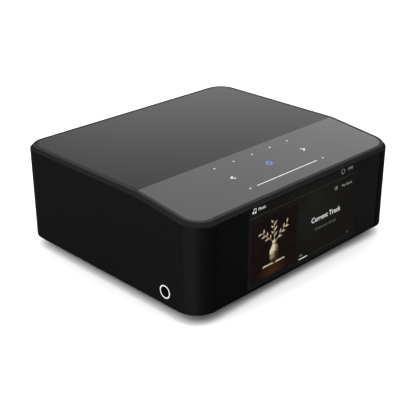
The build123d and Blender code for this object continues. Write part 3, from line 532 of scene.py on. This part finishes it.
def lettering(name, body_text, place, height, where, material, align="LEFT", weight=0.0, proud=0.02):
    """Plain generic lettering whose capitals are height mm tall, with its base line at place."""
    font = bpy.data.curves.new(name, "FONT")
    font.body = body_text
    font.size = height * MM / 0.7
    font.align_x = align
    font.extrude = 0.015 * MM
    font.offset = weight * MM
    lift = Matrix.Translation((place[0] * MM, place[1] * MM, (proud - 0.015) * MM))
    return mesh_piece(name, curve_mesh(font), where @ lift, material)


def ring_points(u, v, radius, count=40, start=0.0, turn=360.0):
    return [
        (
            u + radius * math.cos(math.radians(start + turn * step / count)),
            v + radius * math.sin(math.radians(start + turn * step / count)),
        )
        for step in range(count if turn == 360.0 else count + 1)
    ]


def bar(u_low, u_high, v, width):
    """Outline of a straight bar with round ends."""
    half = width / 2
    right = ring_points(u_high - half, v, half, 8, -90, 180)
    left = ring_points(u_low + half, v, half, 8, 90, 180)
    return right + left


def rectangle(u_low, v_low, u_high, v_high):
    return [(u_low, v_low), (u_high, v_low), (u_high, v_high), (u_low, v_high)]


def stroke(points, width):
    """Outline of an open line of constant width, mitred at its corners."""
    vectors = [Vector(point) for point in points]
    left, right = [], []
    for index, point in enumerate(vectors):
        before = (point - vectors[index - 1]).normalized() if index else None
        after = (vectors[index + 1] - point).normalized() if index + 1 < len(vectors) else None
        directions = [d for d in (before, after) if d is not None]
        along = sum(directions, Vector((0, 0))).normalized()
        across = Vector((-along.y, along.x))
        square = Vector((-directions[0].y, directions[0].x))
        reach = width / 2 / max(across.dot(square), 0.3)
        left.append(tuple(point + across * reach))
        right.append(tuple(point - across * reach))
    return left + right[::-1]


# ------------------------------------------------------------------ touch symbols, in mm up the slope
WHITE_INK = glow("touch_white", srgb(250, 250, 250), 1.0)
BLUE_INK = glow("touch_blue", srgb(128, 156, 255), 1.0)
PER_PLAN = 1 / math.cos(SLOPE)


def up_slope(plan_distance):
    return plan_distance * PER_PLAN


presets = [ring_points(u, up_slope(52.6), 0.75) for u in (-40, -20, 0, 20, 40)]
artwork("touch_preset_dots", presets, TOUCH_PLANE, WHITE_INK)
artwork(
    "touch_play_ring",
    [ring_points(0, up_slope(35.4), 2.6), ring_points(0, up_slope(35.4), 1.6)],
    TOUCH_PLANE, BLUE_INK,
)
for name, side in (("touch_previous", -1), ("touch_next", 1)):
    chevron = [
        (side * 37.6, up_slope(33.6)), (side * 40.6, up_slope(35.4)), (side * 37.6, up_slope(37.2))
    ]
    artwork(name, [stroke(chevron, 1.05)], TOUCH_PLANE, WHITE_INK)
artwork("touch_volume_line", [bar(-33.3, 33.3, up_slope(17.2), 0.7)], TOUCH_PLANE, WHITE_INK)
ends = [ring_points(u, up_slope(17.3), 0.75) for u in (-40.3, 40.3)]
artwork("touch_volume_dots", ends, TOUCH_PLANE, WHITE_INK)

# ------------------------------------------------------------------ display picture, in mm on the screen
TEXT_WHITE = glow("screen_white", srgb(228, 228, 226), 1.0)
TEXT_SOFT = glow("screen_soft", srgb(150, 150, 147), 1.0)
TEXT_DIM = glow("screen_dim", srgb(86, 86, 84), 1.0)
LINE_DIM = glow("screen_line", srgb(42, 42, 40), 1.0)
PICTURE = picture_finish()
IVORY = ivory_finish()

artwork(
    "screen_lines",
    [rectangle(-58.2, 65.0, 61.5, 65.25), rectangle(7.8, 13.55, 58.4, 13.8)],
    SCREEN_PLANE, LINE_DIM,
)
artwork("screen_progress", [rectangle(-2.2, 13.35, 7.6, 14.05)], SCREEN_PLANE, TEXT_WHITE)
lettering("screen_elapsed", "1:08", (-2.3, 15.8), 1.5, SCREEN_PLANE, TEXT_SOFT)
lettering("screen_remaining", "3:52", (58.5, 15.8), 1.5, SCREEN_PLANE, TEXT_DIM, "RIGHT")
lettering("screen_title", "Current Track", (28.0, 38.9), 4.1, SCREEN_PLANE, TEXT_WHITE, "CENTER", 0.04)
lettering("screen_subtitle", "Unknown Artist", (28.0, 31.4), 2.7, SCREEN_PLANE, TEXT_DIM, "CENTER")
lettering("screen_clock", "10:00", (58.2, 69.6), 2.1, SCREEN_PLANE, TEXT_SOFT, "RIGHT")
lettering("screen_queue", "Play Queue", (58.4, 57.8), 1.9, SCREEN_PLANE, TEXT_SOFT, "RIGHT")
lettering("screen_source", "Music", (-48.9, 69.4), 2.4, SCREEN_PLANE, TEXT_WHITE, "LEFT")

note = [
    ring_points(-54.0, 69.3, 0.8),
    ring_points(-51.6, 69.0, 0.8),
    stroke([(-53.4, 69.4), (-53.4, 72.2)], 0.36),
    stroke([(-51.0, 69.1), (-51.0, 71.9)], 0.36),
    stroke([(-53.6, 72.2), (-50.8, 71.9)], 0.7),
]
for index, outline in enumerate(note):
    artwork(f"screen_note_{index + 1}", [outline], SCREEN_PLANE, TEXT_WHITE)
bubble = ring_points(46.1, 70.4, 1.85, 20, -48, 330) + [(46.3, 67.9)]
artwork("screen_bubble_icon", [stroke(bubble, 0.36)], SCREEN_PLANE, TEXT_SOFT)
queue_icon = [rectangle(38.0, v, 40.4, v + 0.45) for v in (57.8, 58.8, 59.8)]
queue_icon += [ring_points(37.2, v + 0.22, 0.3, 12) for v in (57.8, 58.8, 59.8)]
artwork("screen_queue_icon", queue_icon, SCREEN_PLANE, TEXT_SOFT)

artwork("album_picture", [rectangle(-55.2, 13.7, -6.0, 60.9)], SCREEN_PLANE, PICTURE, proud=0.03)


# ------------------------------------------------------------------ the album picture's still life
VASE_U = -30.6  # places and radii in mm on the screen; a ball is (u, v, radius)
VASE_MOUTH = 38.4
BASE_REACH = 11


def sprig(tip, leaves):
    """A stem from the vase's mouth to its tip, with leaves on alternate sides, as chains of balls."""
    root, tip = Vector((VASE_U, VASE_MOUTH)), Vector(tip)
    along = tip - root
    forward, side = along.normalized(), Vector((-along.y, along.x)).normalized()
    chains = [[(*root, 0.5), (*tip, 0.35)]]
    for index in range(leaves):
        start = root + along * (0.3 + 0.7 * index / (leaves - 1))
        out = forward + side * (0.9 if index % 2 else -0.9)
        chains.append([(*start, 0.4), (*(start + out * 1.7), 1.15), (*(start + out * 3.4), 0.3)])
    return chains


VASE = [(25.2, 3.0), (28.0, 5.0), (31.4, 5.6), (34.6, 4.0), (36.8, 2.2), (VASE_MOUTH, 2.9)]
STILL_LIFE = [
    [(VASE_U, v, radius) for v, radius in VASE],
    [(VASE_U - BASE_REACH, 22.2, 1.2), (VASE_U + BASE_REACH, 22.2, 1.2)],
    *sprig((-43.5, 49.6), 6),
    *sprig((-31.6, 54.0), 6),
    *sprig((-17.6, 48.8), 6),
]
RELIEF_THICK = 0.12  # mm, after flattening
RELIEF_PROUD = 0.03
BALL_SPACING = 0.35
LIGHT = Vector((-0.45, 0.62, 0.64)).normalized()  # across, up and towards the viewer


def still_life():
    """Vase and leaves: chains of balls welded into one skin, shaded by its relief and then flattened."""
    built = bmesh.new()
    for chain in STILL_LIFE:
        for (u0, v0, r0), (u1, v1, r1) in zip(chain, chain[1:]):
            steps = max(2, int(math.dist((u0, v0), (u1, v1)) / BALL_SPACING))
            for step in range(steps + 1):
                t = step / steps
                centre = (u0 + (u1 - u0) * t, v0 + (v1 - v0) * t, 0)
                ball = Matrix.Translation(centre)
                bmesh.ops.create_icosphere(built, subdivisions=2, radius=r0 + (r1 - r0) * t, matrix=ball)
    rough = bpy.data.meshes.new("still_life_rough")
    built.to_mesh(rough)
    built.free()
    holder = bpy.data.objects.new("still_life_holder", rough)
    bpy.context.scene.collection.objects.link(holder)
    skin = holder.modifiers.new("skin", "REMESH")
    skin.mode = "VOXEL"
    skin.voxel_size = 0.2
    soften = holder.modifiers.new("soften", "SMOOTH")
    soften.iterations = 2
    bpy.context.view_layer.update()
    evaluated = holder.evaluated_get(bpy.context.evaluated_depsgraph_get())
    mesh = bpy.data.meshes.new_from_object(evaluated)
    bpy.data.objects.remove(holder)
    relief = mesh.attributes.new("relief", "FLOAT", "POINT")
    for vertex, shade in zip(mesh.vertices, relief.data):
        shade.value = 0.06 + 0.94 * max(0.0, vertex.normal.dot(LIGHT)) ** 1.4
    half = max(vertex.co.z for vertex in mesh.vertices)
    flatten = Matrix.Diagonal((MM, MM, RELIEF_THICK / 2 / half * MM, 1))
    lift = Matrix.Translation((0, 0, (RELIEF_PROUD + RELIEF_THICK / 2) * MM))
    return mesh_piece("album_still_life", mesh, SCREEN_PLANE @ lift @ flatten, IVORY)


still_life()


# ------------------------------------------------------------------ gold contacts inside the rear sockets
def contacts(name, socket, offsets, profile, width):
    """Bent strips in a socket. The profile is mm behind its face and mm above its underside."""
    low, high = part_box(socket)
    path = [(high.y / MM - behind, low.z / MM + above) for behind, above in profile]
    for index, offset in enumerate(offsets):
        where = plane(((low.x + high.x) / 2 + offset * MM, 0, 0), (0, 1, 0), (0, 0, 1))
        artwork(f"{name}_{index + 1}", [stroke(path, 0.25)], where, GOLD, proud=width / 2, thick=width)


WIRE_PITCH = 1.02
contacts(
    "ethernet_contact", "ethernet_jack", [(index - 3.5) * WIRE_PITCH for index in range(8)],
    [(1.6, 2.5), (8.2, 4.6), (11.8, 4.9)], 0.45,
)
contacts("usb_contact", "usb_port", (-3.5, -1.1, 1.1, 3.5), [(1.5, 3.45), (8.6, 3.45)], 1.1)


# ------------------------------------------------------------------ floor, light and camera
def floor():
    """A wide, flat, pale floor."""
    tree = Tree("studio_floor")
    shade = tree.mix(tree.spread(tree.noise(0.5), 0, 1), (0.92, 0.92, 0.92, 1), (0.94, 0.94, 0.94, 1))
    tree.link(shade, tree.shader.inputs["Base Color"])
    tree.set(Roughness=0.9, Specular_IOR_Level=0.0)
    mesh = bpy.data.meshes.new("studio_floor")
    reach = 12.0
    corners = [(x * reach, y * reach, 0) for x, y in ((-1, -1), (1, -1), (1, 1), (-1, 1))]
    mesh.from_pydata(corners, [], [(0, 1, 2, 3)])
    mesh.materials.append(tree.material)
    made = bpy.data.objects.new("studio_floor", mesh)
    bpy.context.scene.collection.objects.link(made)


def lamp(name, kind, place, target, **settings):
    """Light at place that points at target."""
    data = bpy.data.lights.new(name, kind)
    for key, value in settings.items():
        setattr(data, key, value)
    made = bpy.data.objects.new(name, data)
    made.location = place
    made.rotation_euler = (Vector(target) - Vector(place)).to_track_quat("-Z", "Y").to_euler()
    bpy.context.scene.collection.objects.link(made)
    return made


BODY_MIDDLE = (0, 0, 0.05)


def studio():
    """Soft surroundings, a wide light overhead, a softbox behind on the right and a fill on the left."""
    world = bpy.data.worlds.new("studio")
    bpy.context.scene.world = world
    world.use_nodes = True
    background = world.node_tree.nodes["Background"]
    background.inputs["Color"].default_value = (1, 1, 1, 1)
    background.inputs["Strength"].default_value = 0.55
    lamp("overhead", "SUN", (0, 0, 3), (0, 0, 0), energy=3.3, angle=math.radians(100))
    for name, place, energy, size, size_y in (
        ("softbox", (1.25, 1.05, 0.42), 7.7, 1.3, 0.55), ("fill", (-1.0, -0.04, 0.8), 4.0, 0.8, 0.6),
    ):
        lamp(name, "AREA", place, BODY_MIDDLE, energy=energy, shape="RECTANGLE", size=size, size_y=size_y)
    bpy.context.scene.view_settings.view_transform = "Standard"


def camera():
    """The photographer's place: front left corner, looking down 25 degrees."""
    azimuth, elevation, roll = math.radians(-45.119), math.radians(25.0), math.radians(-0.011)
    distance = 668.93 * MM
    target = Vector((-35.01, -31.94, 46.5)) * MM
    level = math.cos(elevation)
    back = Vector((math.sin(azimuth) * level, -math.cos(azimuth) * level, math.sin(elevation)))
    data = bpy.data.cameras.new("camera")
    data.sensor_width = 36.0
    data.lens = 77.56
    data.clip_start, data.clip_end = 0.05, 60.0
    made = bpy.data.objects.new("camera", data)
    made.location = target + back * distance
    facing = (-back).to_track_quat("-Z", "Y").to_matrix().to_4x4()
    made.rotation_euler = (facing @ Matrix.Rotation(roll, 4, "Z")).to_euler()
    bpy.context.scene.collection.objects.link(made)
    bpy.context.scene.camera = made


floor()
studio()
camera()
